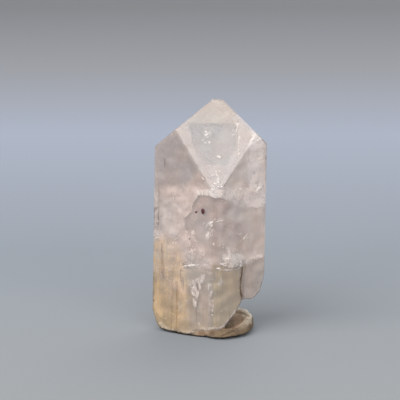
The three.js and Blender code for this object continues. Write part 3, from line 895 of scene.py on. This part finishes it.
def pressed(place, normal, outwards, creases):
    """Where a place of the putty's surface goes as a hand presses it."""
    sink = 0.09 + 0.12 * noise.noise(place * 0.9) + 0.05 * noise.noise(place * 2.6)
    for crease in creases:
        sink += CREASE_DEPTH * max(0, 1 - line_distance(place, crease) / CREASE_REACH) ** 2
    moved = place - normal * max(0, sink) * min(1, place.z / FLAT_FOOT)
    nearest, _, _, gap = crystal_tree.find_nearest(moved)
    if gap < CLING:
        moved += (nearest - moved) * min(CLING_MOST, 1.9 * (1 - gap / CLING))
    if normal.dot(outwards) > -0.3 and (place - PUTTY_MIDDLE).to_2d().length > UNDERCUT_FROM:
        under = max(0, 1 - place.z / UNDERCUT_HEIGHT)
        tucked = clamped((place.x + 1) / 2)  # the left end stays under the foot
        moved -= outwards * UNDERCUT * under**0.7 * tucked
    return moved


def make_putty():
    """The lump, pressed by hand: lumpy, creased inside its rim, and rounded under its edge."""
    putty_tree = tree_of(putty_solid)
    creases = []
    for spots in CREASES:
        hits = [putty_tree.ray_cast(CAMERA_AT, spot_ray(*spot))[0] for spot in spots]
        creases.append([hit for hit in hits if hit])
    mesh = refined(putty_solid, PUTTY_VOXEL)
    form = bmesh.new()
    form.from_mesh(mesh)
    rim, dish, foot = (form.verts.layers.float.new(name) for name in ("rim", "dish", "foot"))
    form.normal_update()
    normals = [vertex.normal.copy() for vertex in form.verts]
    tops = {}
    for vertex in form.verts:
        _, sector = away_from_middle(vertex.co)
        tops[sector] = max(tops.get(sector, 0), vertex.co.z)
    for vertex, normal in zip(form.verts, normals):
        place = vertex.co.copy()
        outwards, sector = away_from_middle(place)
        near_top = place.z / tops[sector] + 0.25 * noise.noise(place * 1.1)
        # painted highlight on the top of the rim
        rim_highlight = max(0, 0.35 + 0.65 * outwards.y + 0.3 * outwards.x)  # most at the back
        vertex[rim] = clamped((near_top - RIM_STARTS) / 0.2) * rim_highlight
        # painted light on faces that look in towards the middle, in the dish
        vertex[dish] = clamped(0.1 - 2 * normal.dot(outwards))
        # painted shade: the putty is painted dark next to the floor
        vertex[foot] = clamped(1.9 - place.z / FLAT_FOOT + 0.6 * noise.noise(place * 2))
        vertex.co = pressed(place, normal, outwards, creases)
    form.to_mesh(mesh)
    form.free()
    mesh.transform(Matrix.Scale(MM, 4))
    for face in mesh.polygons:
        face.use_smooth = True
    piece = add_object("putty_lump", mesh)
    set_material(piece, putty_material())
    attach(piece, "root")
    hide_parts("putty_pad")


make_putty()

FOOT_TOP = 2.8  # the faces of the broken foot lie under this height
FOOT_RIGHT = 2.2  # and to the left of this
FILM_LIFT = 0.02  # the film's top lies this far out from the crystal
FILM_LEAST = 0.03
# The film hangs down into the dark gap between the foot and the floor: painted shade there.
FILM_THIN = 0.12  # how far it hangs down at the back
FILM_HANG = 0.33  # how much further at the front
FILM_FRONT = -3.6  # where the front starts along Y
FILM_BULGE = 0.6  # further still at the front, between the two ends of the bulge along X
FILM_BULGE_ENDS = (-3, -0.2)
FILM_FLOOR = 0.03  # it keeps this far over the floor
FILM_RECESS = 0.12  # its lower edge goes in by up to this
FILM = ((176, 150, 124), (142, 114, 90))
# painted shade for the film's lower part, in the gap over the floor
FILM_SHADE = colour(48, 36, 28)


def is_under_foot(face):
    """True for a face of the crystal that looks down on the putty."""
    middle = face.calc_center_median()
    return face.normal.z < -0.3 and middle.z < FOOT_TOP and middle.x < FOOT_RIGHT


def film_hang(place):
    """How far the film hangs down under a place of the foot."""
    front = clamped((FILM_FRONT - place.y) / 1.2)
    left, right = FILM_BULGE_ENDS
    between = max(0, min(1, place.x - left, right - place.x))
    most = FILM_THIN + front * (FILM_HANG + FILM_BULGE * between)
    return max(FILM_LEAST, min(most, place.z - FILM_FLOOR))


def make_foot_film():
    """Putty under the broken foot, hanging down to just over the floor; its dark lower part is
    painted shade.
    """
    form = bmesh.new()
    form.from_mesh(crystal_solid.data)
    form.transform(Matrix.Scale(1 / MM, 4))
    spare = [face for face in form.faces if not is_under_foot(face)]
    bmesh.ops.delete(form, geom=spare, context="FACES")
    form.normal_update()
    under = list(form.faces)
    rims = [edge for edge in form.edges if edge.is_boundary]
    lower = {}
    for vertex in list(form.verts):
        vertex.co += vertex.normal * FILM_LIFT
        hang = film_hang(vertex.co)
        recess = min(FILM_RECESS, 0.4 * hang)
        lower[vertex] = form.verts.new(vertex.co + Vector((0.3 * recess, recess, -hang)))
    for edge in rims:
        start, end = edge.link_loops[0].edge.verts
        form.faces.new((end, start, lower[start], lower[end]))
    for face in under:
        form.faces.new([lower[vertex] for vertex in face.verts])
        face.normal_flip()
    form.transform(Matrix.Scale(MM, 4))
    finish_piece(form, "foot_film", film_material())


def film_material():
    """Putty-toned to the right and high up, and painted dark low down at the left: painted shade.
    """
    shader = Shader("foot_film")
    place = shader.millimetres()
    axes = shader.node("SeparateXYZ", {"Vector": place}).outputs
    tone = shader.between(shader.range(shader.noise(place, 0.9, detail=5)), FILM)
    high = shader.range(axes["Z"], 0.4, 1.1)
    near_putty = shader.math("MULTIPLY", shader.range(axes["X"], -3, -2),
                             shader.range(axes["Z"], 0.15, 0.4))
    base = shader.mix(shader.math("MAXIMUM", high, near_putty), FILM_SHADE, tone)
    surface = shader.node("BsdfPrincipled", {"Base Color": base, "Roughness": 0.8})
    return shader.finish(surface.outputs[0])


make_foot_film()


# --- Floor and light --------------------------------------------------------------------------

FLOOR_RADIUS = 4  # metres
# The floor's tones along Y are painted light and shade: brightest about 120 mm back, darker
# further back.
FLOOR_FADE = (-60, 300)  # where the floor's tones start and end along Y
FLOOR_LIGHT_STOPS = [(0.08, (151, 153, 155)), (0.28, (145, 151, 158)), (0.51, (160, 166, 180)),
               (0.67, (146, 147, 152)), (0.88, (122, 123, 126))]
LAMPS = [  # name, place, what it is aimed at, width, power in watts
    ("key", (-480, -330, 520), (0, 0, 10), 700, 5.2),
    ("front", (0, -540, 470), (0, 0, 15), 350, 0.9),
    ("fill", (420, -560, 260), (0, 0, 15), 500, 1.7),
    ("back", (160, 480, 300), (0, 0, 15), 600, 1.5),
]
SKY = (0.93, 0.96, 1.0, 1)
SKY_STRENGTH = 0.46


def floor_material():
    shader = Shader("floor")
    place = shader.node("TexCoord").outputs["Object"]
    depth = shader.node("SeparateXYZ", {"Vector": place}).outputs["Y"]
    start, end = FLOOR_FADE
    along = shader.range(depth, start * MM, end * MM, smooth=False)
    ramp = shader.node("ValToRGB", {"Fac": along})
    elements = ramp.color_ramp.elements
    elements.remove(elements[0])
    elements[0].position = FLOOR_LIGHT_STOPS[0][0]
    elements[0].color = colour(*FLOOR_LIGHT_STOPS[0][1])
    for position, shade in FLOOR_LIGHT_STOPS[1:]:
        elements.new(position).color = colour(*shade)
    surface = shader.node("BsdfPrincipled", {
        "Base Color": ramp.outputs["Color"], "Roughness": 0.9, "Specular IOR Level": 0.1,
    })
    return shader.finish(surface.outputs[0])


def make_floor():
    mesh = bpy.data.meshes.new("floor")
    form = bmesh.new()
    bmesh.ops.create_circle(form, cap_ends=True, segments=96, radius=FLOOR_RADIUS)
    form.to_mesh(mesh)
    form.free()
    floor = add_object("floor", mesh)
    mesh.materials.append(floor_material())


def make_lamp(name, place, aim, size, power):
    light = bpy.data.lights.new(name, "AREA")
    light.shape = "SQUARE"
    light.size = size * MM
    light.energy = power
    lamp = add_object(name, light)
    lamp.location = Vector(place) * MM
    lamp.rotation_euler = (Vector(aim) - Vector(place)).to_track_quat("-Z", "Y").to_euler()


make_floor()
for lamp_settings in LAMPS:
    make_lamp(*lamp_settings)

world = bpy.data.worlds.new("studio")
world.use_nodes = True
sky = world.node_tree.nodes["Background"].inputs
sky["Color"].default_value = SKY
sky["Strength"].default_value = SKY_STRENGTH
scene = bpy.context.scene
scene.world = world
scene.view_settings.view_transform = "Standard"
scene.cycles.caustics_refractive = False
scene.cycles.caustics_reflective = False
scene.cycles.max_bounces = 24
scene.cycles.transmission_bounces = 20
scene.cycles.transparent_max_bounces = 24
